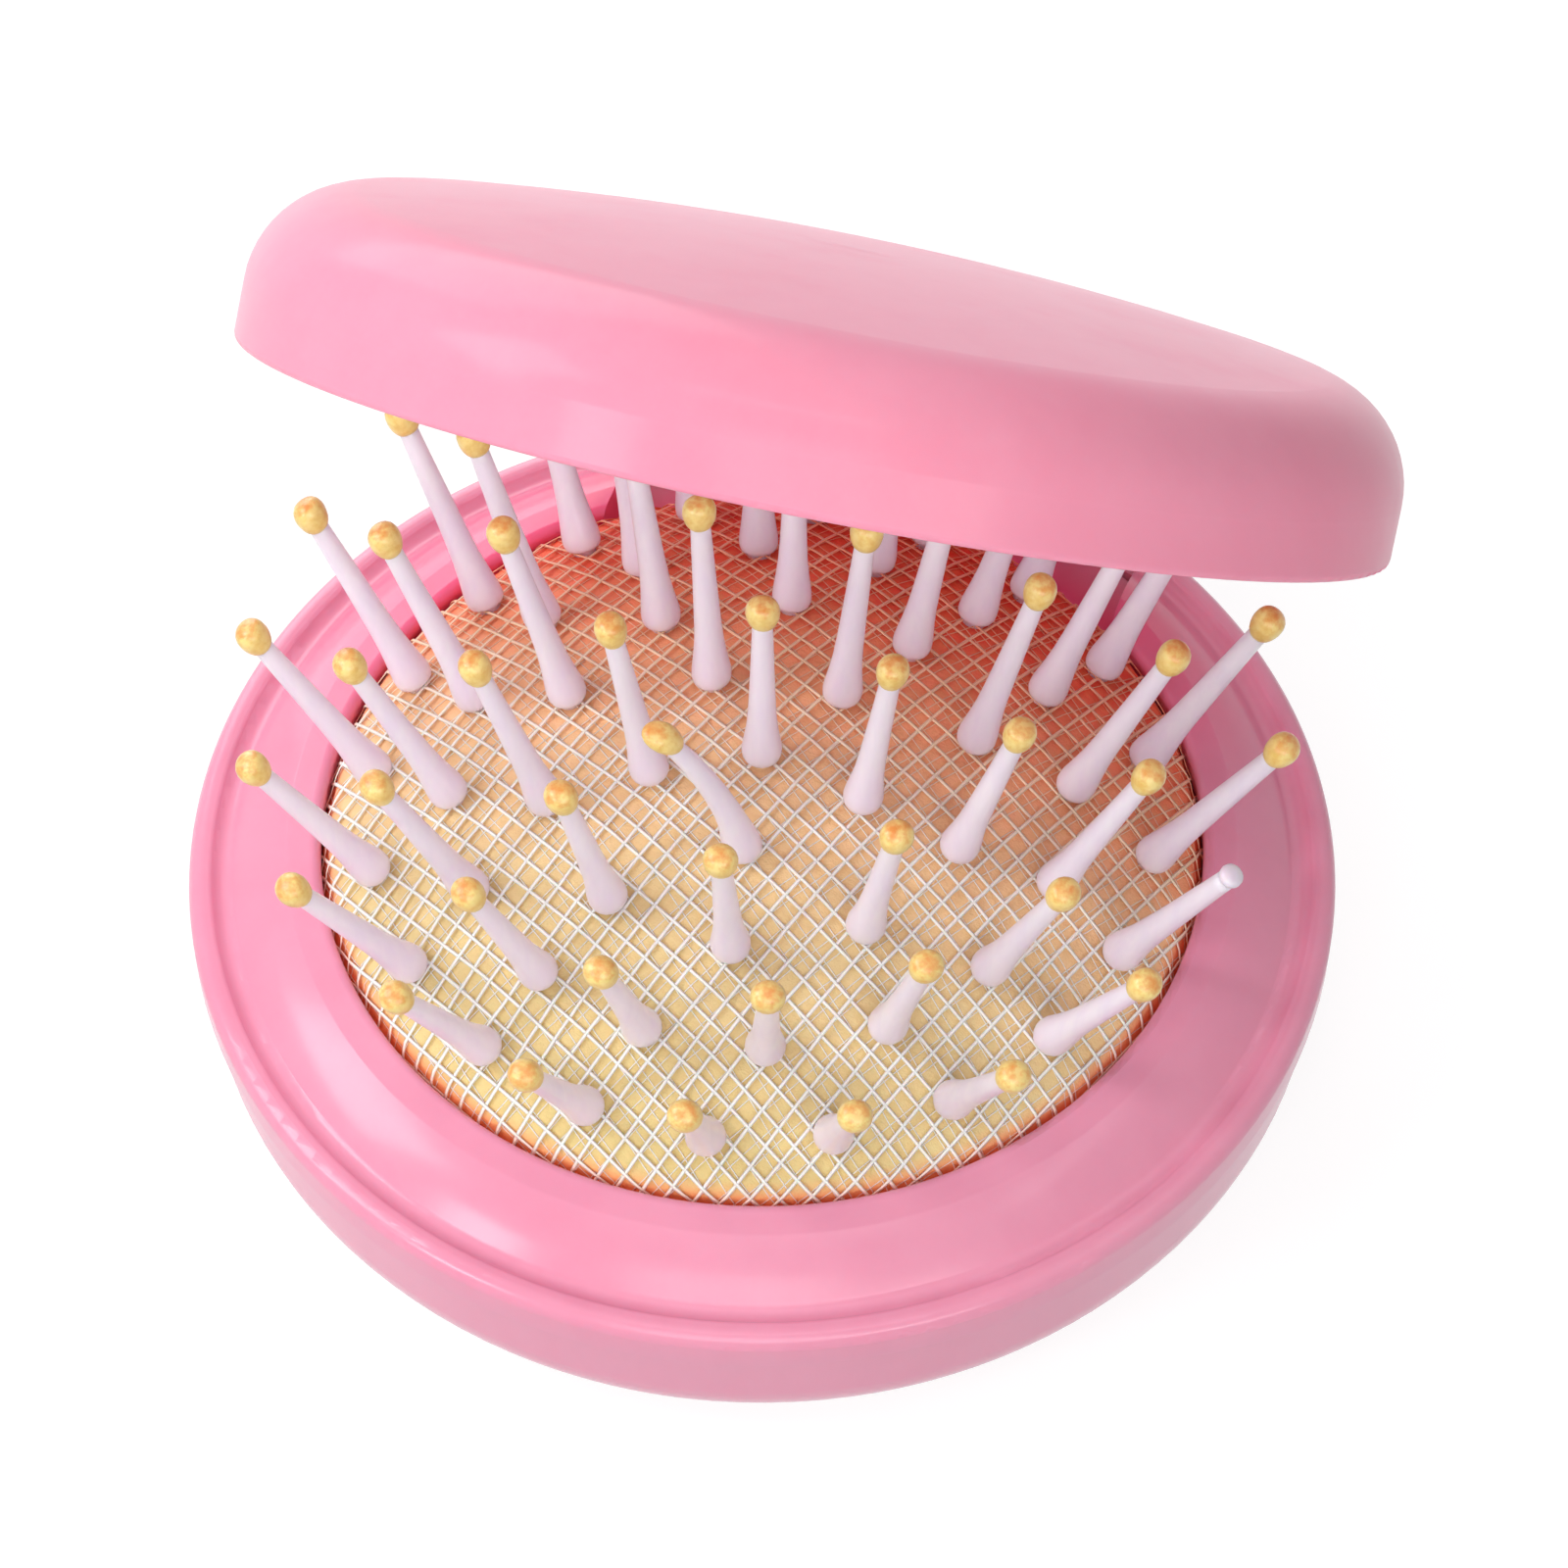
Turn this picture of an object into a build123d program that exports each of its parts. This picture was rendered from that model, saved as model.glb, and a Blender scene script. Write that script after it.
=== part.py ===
from build123d import *
import os
from math import asin, atan, atan2, cos, degrees, radians, sin, sqrt, tan

# Folding compact hairbrush with a mirror lid. Millimetres, +Z up, origin in the middle of the
# bottom face. The hinge is at +Y and the lid's front edge at -Y. The lid is drawn part open.

# ---- driving sizes -------------------------------------------------------------------------
# case
case_radius = 40.5          # outside of the bezel's ridge
base_height = 13.0          # bottom face to the top of the ridge
floor_thickness = 1.2
tray_wall = 1.4
tray_corner = 5.5           # outside radius between the bottom and the wall
tray_draft = 5.0            # lean of the tray's wall, in degrees
ridge_height = 3.0          # ridge's top down to the parting line with the tray
ridge_overhang = 0.5        # how far the ridge stands out past the tray's wall
vent_radius = 1.0
vent_offset = 18.0          # vent's distance from the middle, towards the front

# bezel
bezel_width = 9.5           # ridge's outside in to the opening
lip_height = 2.9            # lip above the ridge
lip_wall = 2.4
lip_fall = 0.5              # of the lip's top from its inside to the slope
lip_round = 0.65
slope_wall = 1.4
lip_thickness = 2.25        # from the lip's top to the hollow under the slope
slope_sag = 0.35            # hollow of the slope between lip and groove
groove_width = 0.9          # from the bottom of the groove out to the ridge
groove_depth = 0.9
groove_round = 1.0
ridge_width = 1.6
ridge_lean = 0.1
ridge_round = 1.1
ridge_inner_round = 0.4
skirt_wall = 1.2
skirt_depth = 2.8           # skirt below the parting line
skirt_gap = 0.1

# cushion, its net and how they are clamped
dome_radius = 55.6
dome_rise = 11.6            # top of the dome above the ridge
dome_edge_gap = 1.3         # opening to the edge of the dome
dome_edge_round = 1.1
rubber = 0.7
net_thickness = 0.25
film_gap = 0.02             # between rubber, net and pins
flange_width = 4.8
root_gap = 0.6              # opening to the rubber's side where it meets the flange
flange_share = 0.4          # the flange's level between the cushion's edge when down and when up
clamp_thickness = 1.3
clamp_width = 5.1
clamp_chamfer = 0.3
peg_count = 6
peg_inset = 3.2             # opening to the middle of the pegs
peg_radius = 0.8
peg_gap = 0.12
post_radius = 1.4
rivet_radius = 1.2
rivet_height = 0.5
rib_wall = 1.1

# pins
pin_sides = 8
pin_length = 16.7           # rubber's face to the middle of the bead
pin_foot_radius = 1.35
pin_waist_radius = 0.95
pin_waist_height = 4.5
pin_top_radius = 0.7
neck_radius = 0.9
neck_gap = 0.08
head_radius = 1.4
head_thickness = 0.5
bead_radius = 1.2
bead_below = 1.15           # the bead's middle down to the end of the pin
bead_above = 1.1
bead_belt = 0.7             # height of the bead's widest band
bead_tip_radius = 0.6
ring_shares = (0.25, 0.482, 0.694, 0.876)     # of the opening's radius
ring_counts = (5, 10, 16, 20)
ring_phases = (6.5, 7.9, 16.6, 26.1)    # first pin of each ring, from -Y towards +X, degrees
ring_names = ("centre", "inner", "middle", "outer")
head_clearance = 0.35       # pin heads above the floor when the cushion is down

# lid
bead_clearance = 0.38       # beads at the back to the mirror, with the lid as drawn
rim_gap = 0.3               # between the lid's rim and the ridge when closed
lid_inset = 0.5             # ridge's outside in to the lid's side
lid_height = 13.8
lid_wall = 1.4
lid_corner = 7.4            # outside radius between the lid's side and its dome
lid_dome_rise = 3.36        # top of the lid above the edge of its dome
rim_round = 0.5
hub_rib_radius = 12.0
seat_rib_inset = 1.5        # tape's edge to the rib
frame_rib_gap = 2.2         # glass's edge to the rib
rib_width = 1.2             # of the ribs behind the mirror

# mirror
tape_gap = 0.1              # tape's edge to the lid's inside
mirror_surround = 10.7      # lid's rim in to the glass
glass_thickness = 0.9
tape_inset = 1.3
tape_thickness = 0.3
frame_overlap = 0.6         # of the frame on the glass
frame_width = 4.8           # of the frame beyond the glass
frame_lip = 0.6
frame_thickness = 0.85
frame_gap = 0.1

# hinge
hinge_offset = 2.5          # hinge line outside the case
knuckle_radius = 2.3
hinge_pin_radius = 0.9
hinge_running_gap = 0.05
hinge_length = 36.0
lid_knuckle_length = 22.0
knuckle_side_gap = 0.2
knuckle_relief = 0.35
web_height = 4.0            # of the lid's knuckle web, up the lid's side
pin_end_chamfer = 0.2
alcove_half_width = 19.0
alcove_back_wall = 3.8      # ridge's outside in to the alcove
alcove_wall = 1.3
alcove_floor = 0.8

os.makedirs("parts", exist_ok=True)


def finish(block, name):
    """Labels a finished piece and writes it."""
    block.part.label = name
    export_step(block.part, "parts/" + name + ".step")


# ---- radii and levels worked out from the sizes ----------------------------------------------
lip_radius = case_radius - bezel_width
ridge_inner_radius = case_radius - ridge_width
groove_radius = ridge_inner_radius - groove_width
lid_radius = case_radius - lid_inset
dome_edge_radius = lip_radius - dome_edge_gap
root_radius = lip_radius - root_gap
flange_radius = lip_radius + flange_width
clamp_radius = lip_radius + clamp_width
peg_circle = lip_radius + peg_inset
ring_radii = [share * lip_radius for share in ring_shares]
glass_radius = case_radius - mirror_surround
tape_radius = glass_radius - tape_inset
frame_inner_radius = glass_radius - frame_overlap
frame_outer_radius = glass_radius + frame_width
seat_rib_radius = tape_radius - seat_rib_inset
lid_dome_radius = (lid_radius**2 + lid_dome_rise**2) / (2 * lid_dome_rise)
lid_dome_centre = lid_height - lid_dome_radius
tape_back = lid_dome_centre + sqrt((lid_dome_radius - lid_wall) ** 2 - tape_radius**2) - tape_gap
glass_back = tape_back - tape_thickness
mirror_depth = glass_back - glass_thickness     # rim down to the glass
frame_rib_radius = glass_radius + frame_rib_gap
alcove_depth_y = case_radius - alcove_back_wall
parting = base_height - ridge_height
tray_top_radius = case_radius - ridge_overhang
lip_top = base_height + lip_height
dome_top = base_height + dome_rise
dome_centre = dome_top - dome_radius
low_face = floor_thickness + head_clearance + head_thickness + film_gap + rubber
dome_edge_level = dome_centre + sqrt(dome_radius**2 - dome_edge_radius**2)
flange_top = low_face + rubber + flange_share * (dome_edge_level - low_face - rubber)
flange_bottom = flange_top - rubber
clamp_bottom = flange_bottom - clamp_thickness
net_top = flange_top + film_gap + net_thickness
press_level = net_top + film_gap                # underside of the bezel's inner wall and posts
hinge_y = case_radius + hinge_offset
hinge_z = base_height + rim_gap / 2
underside_inner = lip_top - lip_thickness
underside_outer = base_height - groove_depth - slope_wall
post_top = (underside_inner + underside_outer + slope_wall) / 2
skirt_radius = tray_top_radius - tray_wall - skirt_gap - skirt_depth * tan(radians(tray_draft))
skirt_inner_radius = skirt_radius - skirt_wall

# the lid's angle as drawn, above closed: its mirror stands just clear of the beads at the back
bead_tilt = asin(ring_radii[-1] / dome_radius)
bead_y = ring_radii[-1] + pin_length * sin(bead_tilt)
bead_z = dome_centre + (dome_radius + pin_length) * cos(bead_tilt)
bead_reach = sqrt((hinge_y - bead_y) ** 2 + (bead_z - hinge_z) ** 2)
mirror_room = mirror_depth + rim_gap / 2 - bead_radius - bead_clearance
open_angle = degrees(atan2(bead_z - hinge_z, hinge_y - bead_y) - asin(mirror_room / bead_reach))

# ---- tray -----------------------------------------------------------------------------------
def round_corner(point, radius):
    """Rounds the corner of the current sketch that lies nearest to a point."""
    fillet(vertices().sort_by_distance(point)[0:1], radius)


tray_bottom_radius = tray_top_radius - parting * tan(radians(tray_draft))
inner_bottom_radius = tray_bottom_radius - tray_wall
with BuildPart() as base_tray:
    with BuildSketch(Plane.XZ):
        with BuildLine():
            Polyline(
                (0, 0), (tray_bottom_radius, 0), (tray_top_radius, parting),
                (tray_top_radius - tray_wall, parting), (inner_bottom_radius, floor_thickness),
                (0, floor_thickness), (0, 0),
            )
        make_face()
        round_corner((tray_bottom_radius, 0), tray_corner)
        round_corner((inner_bottom_radius, floor_thickness), tray_corner - tray_wall)
    revolve(axis=Axis.Z)
    with BuildSketch(Plane.XY.offset(floor_thickness / 2)):
        Circle(lip_radius + rib_wall)
        Circle(lip_radius, mode=Mode.SUBTRACT)
    extrude(amount=clamp_bottom - floor_thickness / 2)
    with Locations((0, -vent_offset, floor_thickness)):
        Hole(vent_radius)
finish(base_tray, "base_tray")


# ---- bezel ring -----------------------------------------------------------------------------
slope_start = (lip_radius + lip_wall, lip_top - lip_fall)
groove_point = (groove_radius, base_height - groove_depth)


def bezel_outside():
    """The bezel's visible outline, from the inner wall over lip, slope and groove to the ridge."""
    Polyline((lip_radius, press_level), (lip_radius, lip_top), slope_start)
    SagittaArc(slope_start, groove_point, slope_sag)
    Polyline(
        groove_point, (ridge_inner_radius, base_height), (case_radius, base_height),
        (case_radius - ridge_lean, parting),
    )


def round_bezel():
    """Rolls the lip, hollows the groove and rounds the ridge."""
    round_corner((lip_radius, lip_top), lip_round)
    round_corner(slope_start, lip_round)
    round_corner(groove_point, groove_round)
    round_corner((ridge_inner_radius, base_height), ridge_inner_round)
    round_corner((case_radius, base_height), ridge_round)


# solid stretch of the bezel at the hinge, which carries the knuckles and holds the alcove
block_half_width = alcove_half_width + alcove_wall
with BuildPart() as hinge_block:
    with BuildSketch(Plane.XZ):
        with BuildLine():
            bezel_outside()
            Polyline(
                (case_radius - ridge_lean, parting), (skirt_inner_radius, parting),
                (skirt_inner_radius, press_level), (lip_radius, press_level),
            )
        make_face()
        round_bezel()
    revolve(axis=Axis.Z)
    with Locations((0, case_radius / 2, base_height)):
        Box(2 * block_half_width, case_radius, base_height, mode=Mode.INTERSECT)

with BuildPart() as bezel_ring:
    with BuildSketch(Plane.XZ):
        with BuildLine():
            bezel_outside()
            Polyline(
                (case_radius - ridge_lean, parting), (skirt_radius, parting),
                (skirt_radius, parting - skirt_depth), (skirt_inner_radius, parting - skirt_depth),
                (skirt_inner_radius, underside_outer), (lip_radius + lip_wall, underside_inner),
                (lip_radius + lip_wall, press_level), (lip_radius, press_level),
            )
        make_face()
        round_bezel()
    revolve(axis=Axis.Z)

    # posts that press on the cushion's flange, each with a peg riveted under the clamp ring
    for start, end, radius in (
        (press_level, post_top, post_radius),
        (clamp_bottom - rivet_height / 2, press_level + 0.5, peg_radius),
        (clamp_bottom - rivet_height, clamp_bottom, rivet_radius),
    ):
        with BuildSketch(Plane.XY.offset(start)):
            with PolarLocations(peg_circle, peg_count, start_angle=180 / peg_count):
                Circle(radius)
        extrude(amount=end - start)

    # hinge block with its alcove
    add(hinge_block.part)
    with BuildSketch(Plane.XY.offset(press_level + alcove_floor)):
        with Locations((0, alcove_depth_y / 2)):
            Rectangle(2 * alcove_half_width, alcove_depth_y)
    extrude(amount=base_height, mode=Mode.SUBTRACT)

    # knuckles on each side of the lid's knuckle, and the room that the lid's knuckle needs
    knuckle_start = lid_knuckle_length / 2 + knuckle_side_gap
    knuckle_width = hinge_length / 2 - knuckle_start
    for side in (-1, 1):
        with BuildSketch(Plane.YZ.offset(side * knuckle_start)):
            with Locations((hinge_y, hinge_z)):
                Circle(knuckle_radius)
            with BuildLine():
                Polyline(
                    (alcove_depth_y, parting), (hinge_y - knuckle_radius / 2, parting),
                    (hinge_y + knuckle_radius, hinge_z), (hinge_y, base_height),
                    (alcove_depth_y, base_height), (alcove_depth_y, parting),
                )
            make_face()
        extrude(amount=side * knuckle_width)
    with BuildSketch(Plane.YZ):
        with Locations((hinge_y, hinge_z)):
            Circle(knuckle_radius + knuckle_relief)
    extrude(amount=lid_knuckle_length / 2 + knuckle_side_gap, both=True, mode=Mode.SUBTRACT)
    with BuildSketch(Plane.YZ):
        with Locations((hinge_y, hinge_z)):
            Circle(hinge_pin_radius + hinge_running_gap)
    extrude(amount=hinge_length, both=True, mode=Mode.SUBTRACT)
finish(bezel_ring, "bezel_ring")

# ---- clamp ring -----------------------------------------------------------------------------
with BuildPart() as clamp_ring:
    with BuildSketch(Plane.XY.offset(clamp_bottom)):
        Circle(clamp_radius)
        Circle(lip_radius, mode=Mode.SUBTRACT)
        with PolarLocations(peg_circle, peg_count, start_angle=180 / peg_count):
            Circle(peg_radius + peg_gap, mode=Mode.SUBTRACT)
    extrude(amount=clamp_thickness)
    chamfer(edges().group_by(Axis.Z)[0].filter_by(GeomType.CIRCLE).sort_by(SortBy.RADIUS)[-1], clamp_chamfer)
finish(clamp_ring, "clamp_ring")


# ---- pin positions --------------------------------------------------------------------------
def dome_tilt(radius):
    """How far a pin at this radius leans outwards, in degrees."""
    return degrees(asin(radius / dome_radius))


def pin_plane(radius, azimuth):
    """A pin's plane: on the rubber's face, its normal along the pin, its x direction round the dome."""
    turn = radians(azimuth)
    tilt = radians(dome_tilt(radius))
    level = dome_centre + dome_radius * cos(tilt)
    outward = Vector(sin(turn), -cos(turn), 0)
    return Plane(
        origin=outward * radius + Vector(0, 0, level),
        x_dir=(cos(turn), sin(turn), 0),
        z_dir=outward * sin(tilt) + Vector(0, 0, cos(tilt)),
    )


def ring_planes(radius, count, phase):
    """The planes of one ring of pins, in order round the dome."""
    return [pin_plane(radius, phase + 360 * k / count) for k in range(count)]


rings = [ring_planes(*sizes) for sizes in zip(ring_radii, ring_counts, ring_phases)]
pin_groups = {"centre": [Plane((0, 0, dome_top))] + rings[0]}
for ring_name, planes in zip(ring_names[1:], rings[1:]):
    for pair in range(len(planes) // 2):
        pin_groups[ring_name + "_" + str(pair + 1)] = planes[2 * pair:2 * pair + 2]
all_pins = [plane for planes in pin_groups.values() for plane in planes]


# ---- cushion and net ------------------------------------------------------------------------
def dome_line(growth, flange_level, flange_edge, bottom):
    """Half section of all that lies under a dome standing growth outside the rubber's face."""
    sphere = dome_radius + growth
    edge = dome_edge_radius + growth
    edge_turn = asin(edge / sphere)
    edge_point = (edge, dome_centre + sphere * cos(edge_turn))
    middle = (sphere * sin(edge_turn / 2), dome_centre + sphere * cos(edge_turn / 2))
    with BuildLine() as outline:
        ThreePointArc((0, dome_centre + sphere), middle, edge_point)
        Polyline(
            edge_point, (root_radius + growth, flange_level), (flange_edge, flange_level),
            (flange_edge, bottom), (0, bottom), (0, dome_centre + sphere),
        )
    return outline.line


def drill_for_pins_and_pegs():
    """Holes for the necks of the pins and for the bezel's pegs."""
    with BuildSketch(*all_pins) as neck_holes:
        RegularPolygon(neck_radius + neck_gap, pin_sides)
    extrude(neck_holes.sketch, amount=2 * rubber, both=True, mode=Mode.SUBTRACT)
    with BuildSketch(Plane.XY.offset(flange_bottom - rubber)) as peg_holes:
        with PolarLocations(peg_circle, peg_count, start_angle=180 / peg_count):
            Circle(peg_radius + peg_gap)
    extrude(peg_holes.sketch, amount=3 * rubber, mode=Mode.SUBTRACT)


with BuildPart() as cushion:
    with BuildSketch(Plane.XZ):
        make_face(dome_line(0, flange_top, flange_radius, flange_bottom))
        round_corner((dome_edge_radius, dome_edge_level), dome_edge_round)
    revolve(axis=Axis.Z)
    with BuildSketch(Plane.XZ):
        make_face(dome_line(-rubber, flange_bottom, lip_radius, flange_bottom - rubber))
        round_corner((dome_edge_radius - rubber, dome_edge_level), dome_edge_round - rubber / 2)
    revolve(axis=Axis.Z, mode=Mode.SUBTRACT)
    drill_for_pins_and_pegs()
finish(cushion, "cushion")

net_growth = film_gap + net_thickness
with BuildPart() as cushion_net:
    with BuildSketch(Plane.XZ):
        make_face(dome_line(net_growth, net_top, flange_radius, flange_top + film_gap))
        round_corner((dome_edge_radius, dome_edge_level), dome_edge_round + net_growth)
    revolve(axis=Axis.Z)
    with BuildSketch(Plane.XZ):
        make_face(dome_line(film_gap, flange_top + film_gap, lip_radius, flange_top - rubber))
        round_corner((dome_edge_radius, dome_edge_level), dome_edge_round + film_gap)
    revolve(axis=Axis.Z, mode=Mode.SUBTRACT)
    drill_for_pins_and_pegs()
finish(cushion_net, "cushion_net")

# ---- pins and their beads -------------------------------------------------------------------
foot_level = 2 * film_gap + net_thickness
pin_end = pin_length - bead_below


def frustum(start, start_radius, end, end_radius):
    """A stretch of pin or bead between two levels."""
    with BuildSketch(Plane.XY.offset(start)) as section:
        RegularPolygon(start_radius, pin_sides)
    apothem = cos(radians(180 / pin_sides))
    lean = degrees(atan((start_radius - end_radius) * apothem / (end - start)))
    extrude(section.sketch, amount=end - start, taper=lean)


with BuildPart() as pin:
    frustum(-rubber - film_gap - head_thickness, head_radius, -rubber - film_gap, head_radius)
    frustum(-rubber - film_gap, neck_radius, foot_level, neck_radius)
    frustum(foot_level, pin_foot_radius, pin_waist_height, pin_waist_radius)
    frustum(pin_waist_height, pin_waist_radius, pin_end, pin_top_radius)

with BuildPart() as bead:
    frustum(pin_end, pin_top_radius, pin_length - bead_belt / 2, bead_radius)
    frustum(pin_length - bead_belt / 2, bead_radius, pin_length + bead_belt / 2, bead_radius)
    frustum(pin_length + bead_belt / 2, bead_radius, pin_length + bead_above, bead_tip_radius)

for group_name, planes in pin_groups.items():
    places = [plane.location for plane in planes]
    with BuildPart() as pin_group:
        with Locations(*places):
            add(pin.part)
    finish(pin_group, "pins_" + group_name)
    with BuildPart() as bead_group:
        with Locations(*places):
            add(bead.part)
    finish(bead_group, "beads_" + group_name)

# ---- lid, in its own frame, which turns about the hinge -------------------------------------
opened = Location((0, hinge_y, hinge_z), (-open_angle, 0, 0))
lid_rim = Plane(opened * Location((0, -hinge_y, rim_gap / 2)))
lid_section = Plane(origin=lid_rim.origin, x_dir=lid_rim.x_dir, z_dir=-lid_rim.y_dir)
lid_side = Plane(origin=lid_rim.origin, x_dir=lid_rim.y_dir, z_dir=lid_rim.x_dir)
lid_axis = Axis(lid_rim.origin, lid_rim.z_dir)


def lid_line(inset):
    """Half section of the lid's bowl, inset from the outside by a wall, before its corner is rounded."""
    sphere = lid_dome_radius - inset
    side = lid_radius - inset
    turn = asin(side / sphere)
    side_top = (side, lid_dome_centre + sphere * cos(turn))
    middle = (sphere * sin(turn / 2), lid_dome_centre + sphere * cos(turn / 2))
    with BuildLine() as outline:
        Polyline((0, lid_dome_centre + sphere), (0, 0), (side, 0), side_top)
        ThreePointArc(side_top, middle, (0, lid_dome_centre + sphere))
    return outline.line


with BuildPart() as lid_shell:
    with BuildSketch(lid_section):
        make_face(lid_line(0))
        round_corner((lid_radius, lid_height), lid_corner)
        round_corner((lid_radius, 0), rim_round)
    revolve(axis=lid_axis)

    # the lid's knuckle, on a web from the rim
    with BuildSketch(lid_side.offset(-lid_knuckle_length / 2)):
        with Locations((hinge_y, -rim_gap / 2)):
            Circle(knuckle_radius)
        with BuildLine():
            Polyline(
                (alcove_depth_y, 0), (hinge_y, 0), (hinge_y + knuckle_radius, -rim_gap / 2),
                (lid_radius, web_height), (alcove_depth_y, web_height), (alcove_depth_y, 0),
            )
        make_face()
    extrude(amount=lid_knuckle_length)

    # inside of the bowl, less the ribs that the mirror and its frame rest on
    frame_level = mirror_depth - frame_lip + frame_thickness
    with BuildSketch(lid_section):
        make_face(lid_line(lid_wall))
        round_corner((lid_radius, lid_height), lid_corner - lid_wall)
        for rib_radius, rib_level in (
            (hub_rib_radius, tape_back), (seat_rib_radius, tape_back), (frame_rib_radius, frame_level),
        ):
            with Locations((rib_radius, rib_level)):
                Rectangle(rib_width, lid_height, align=(Align.MIN, Align.MIN), mode=Mode.SUBTRACT)
    revolve(axis=lid_axis, mode=Mode.SUBTRACT)
    with BuildSketch(lid_side):
        with Locations((hinge_y, -rim_gap / 2)):
            Circle(hinge_pin_radius + hinge_running_gap)
    extrude(amount=hinge_length, both=True, mode=Mode.SUBTRACT)
finish(lid_shell, "lid_shell")

with BuildPart() as mirror_glass:
    with BuildSketch(lid_rim.offset(mirror_depth)):
        Circle(glass_radius)
    extrude(amount=glass_thickness)
finish(mirror_glass, "mirror_glass")

with BuildPart() as mirror_tape:
    with BuildSketch(lid_rim.offset(glass_back)):
        Circle(tape_radius)
    extrude(amount=tape_thickness)
finish(mirror_tape, "mirror_tape")

frame_face = mirror_depth - frame_lip
with BuildPart() as mirror_frame:
    with BuildSketch(lid_section):
        with BuildLine():
            Polyline(
                (frame_inner_radius, frame_face), (frame_outer_radius, frame_face),
                (frame_outer_radius, frame_face + frame_thickness),
                (glass_radius + frame_gap, frame_face + frame_thickness),
                (glass_radius + frame_gap, mirror_depth), (frame_inner_radius, mirror_depth),
                (frame_inner_radius, frame_face),
            )
        make_face()
        round_corner((frame_outer_radius, frame_face), frame_thickness / 2)
        round_corner((frame_inner_radius, frame_face), frame_lip / 2)
    revolve(axis=lid_axis)
finish(mirror_frame, "mirror_frame")

# ---- hinge pin ------------------------------------------------------------------------------
with BuildPart() as hinge_pin:
    with BuildSketch(Plane.YZ):
        with Locations((hinge_y, hinge_z)):
            Circle(hinge_pin_radius)
    extrude(amount=hinge_length / 2, both=True)
    chamfer(edges().filter_by(GeomType.CIRCLE), pin_end_chamfer)
finish(hinge_pin, "hinge_pin")
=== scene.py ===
"""Looks of the folding compact hairbrush: pink case, rubber dome and net, bead-tipped pins."""

import math
import random

import bpy
import numpy as np
from mathutils import Matrix, Vector


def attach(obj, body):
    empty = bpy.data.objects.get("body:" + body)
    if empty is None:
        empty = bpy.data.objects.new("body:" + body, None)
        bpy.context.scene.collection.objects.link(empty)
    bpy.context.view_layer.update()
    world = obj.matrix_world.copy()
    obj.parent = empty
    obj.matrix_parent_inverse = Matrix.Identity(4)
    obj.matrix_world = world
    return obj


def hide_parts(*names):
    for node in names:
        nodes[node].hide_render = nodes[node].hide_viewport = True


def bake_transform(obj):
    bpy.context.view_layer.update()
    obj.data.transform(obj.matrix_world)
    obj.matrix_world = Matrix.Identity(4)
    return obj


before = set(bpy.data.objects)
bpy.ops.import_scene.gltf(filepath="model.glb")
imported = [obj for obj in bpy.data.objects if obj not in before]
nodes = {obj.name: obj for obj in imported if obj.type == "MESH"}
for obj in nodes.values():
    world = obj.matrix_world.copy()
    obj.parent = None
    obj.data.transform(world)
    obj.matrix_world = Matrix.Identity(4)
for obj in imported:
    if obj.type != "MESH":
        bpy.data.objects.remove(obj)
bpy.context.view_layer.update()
rng = random.Random(11)

MM = 0.001

# ---- sizes shared with the solids, in millimetres ----------------------------------------------
DOME_RADIUS = 55.6
DOME_TOP = 24.6
DOME_CENTRE = DOME_TOP - DOME_RADIUS
EDGE_RADIUS = 30.4
ROOT_RADIUS = 30.5
WALL_HEIGHT = 6.2
CORNER_RADIUS = 1.1
FLANGE_TOP = 8.483
FLANGE_RADIUS = 35.8
RUBBER = 0.7
RIDGE_LEVEL = 13.0
LID_MIDDLE = (0.0, 22.45, 53.42)
RING_RADII = (7.75, 14.942, 21.514, 27.156)
RING_COUNTS = (5, 10, 16, 20)
RING_PHASES = (6.5, 7.9, 16.6, 26.1)
RING_NAMES = ("centre", "inner", "middle", "outer")

# ---- sizes of the scene's own detail, in millimetres -------------------------------------------
EDGE_BULGE = 0.5
EDGE_BULGE_LEVEL = 13.7
EDGE_BULGE_SPREAD = 0.8
DIMPLE_DEPTH = 0.16
DIMPLE_SPREAD = 2.2
NET_PITCH = 1.66
THREAD = 0.14
NET_LIFT = 0.24
NET_WANDER = 0.1
UNDER_PITCH = 1.25
UNDER_THREAD = 0.045
UNDER_LIFT = 0.04
UNDER_WANDER = 0.16
WEAVE = 0.03
STRAY = 0.08
THREAD_STEP = 0.65
DOME_SIDES = 192
PIN_SIDES = 20

# ---- camera: the photograph's viewing angle ----------------------------------------------------
CAMERA_AZIMUTH = math.radians(15.9)
CAMERA_ELEVATION = math.radians(53.37)
CAMERA_DISTANCE = 500.0
CAMERA_SHIFT = (-1.54, -5.06)
FOCAL_PIXELS = 7232.6
FRAME_PIXELS = 1600
SENSOR = 36

right = Vector((math.cos(CAMERA_AZIMUTH), math.sin(CAMERA_AZIMUTH), 0))
level_forward = Vector((-math.sin(CAMERA_AZIMUTH), math.cos(CAMERA_AZIMUTH), 0))
forward = level_forward * math.cos(CAMERA_ELEVATION) - Vector((0, 0, math.sin(CAMERA_ELEVATION)))
up = right.cross(forward)
eye = (
    Vector((0, 0, RIDGE_LEVEL))
    - right * CAMERA_SHIFT[0]
    - up * CAMERA_SHIFT[1]
    - forward * CAMERA_DISTANCE
)
camera_data = bpy.data.cameras.new("camera")
camera_data.sensor_width = SENSOR
camera_data.lens = FOCAL_PIXELS / FRAME_PIXELS * SENSOR
camera_data.clip_start = 0.01
camera_data.clip_end = 20
camera = bpy.data.objects.new("camera", camera_data)
camera.matrix_world = (
    Matrix.Translation(eye * MM) @ Matrix((right, up, -forward)).transposed().to_4x4()
)
bpy.context.scene.collection.objects.link(camera)
bpy.context.scene.camera = camera


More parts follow.
